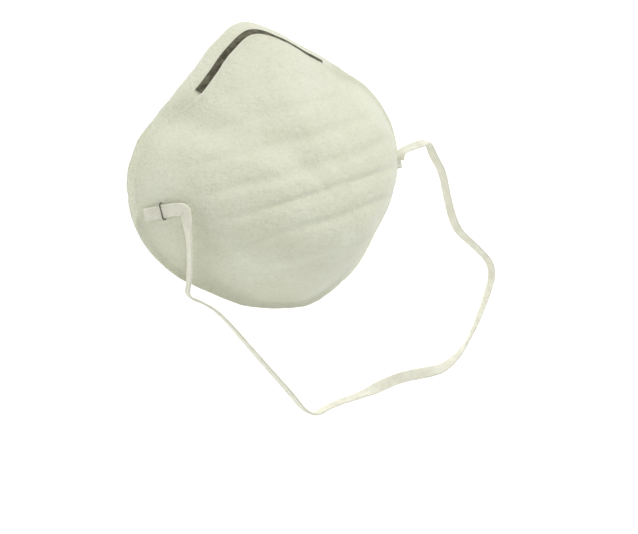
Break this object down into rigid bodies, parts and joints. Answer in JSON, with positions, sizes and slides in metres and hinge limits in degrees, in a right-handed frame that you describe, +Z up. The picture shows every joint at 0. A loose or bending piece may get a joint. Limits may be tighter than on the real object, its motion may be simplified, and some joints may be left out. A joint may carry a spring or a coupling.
{
  "type": "disposable dust mask",
  "caption": "Moulded nonwoven cup that covers nose and mouth, with a bendable nose clip and an elastic head band stapled to the cheeks.",
  "frame": {"origin": "on the surface that the mask lies on, rim down, below the middle of the cup's outline", "axes": "+Z up from the rim to the crown of the cup, +Y from the chin to the nose, +X across the face"},
  "size_m": [0.179, 0.1767, 0.0445],
  "materials": {
    "outer_nonwoven": "matte moulded needled nonwoven, fuzzy",
    "filter_nonwoven": "matte melt-blown filter web",
    "inner_nonwoven": "matte moulded nonwoven, smooth",
    "clip_metal": "dull dark lacquer",
    "hot_melt": "satin, translucent",
    "staple_wire": "dull drawn wire",
    "elastic": "braided elastic, matte"
  },
  "bodies": {
    "cup": {"outer_web": "outer_nonwoven", "filter_web": "filter_nonwoven", "inner_web": "inner_nonwoven", "nose_clip": "clip_metal", "nose_clip_glue": "hot_melt", "staple_left": "staple_wire", "staple_right": "staple_wire", "band_end_left": "elastic", "band_end_right": "elastic"},
    "band": {"head_band": "elastic"}
  },
  "joints": [
    {"name": "band_swing", "type": "hinge", "parent": "cup", "child": "band", "pos_m": [-0.0015, -0.0075, 0.02275], "axis": [-0.9999, 0.009, -0.0135], "range_deg": [0, 170]}
  ]
}
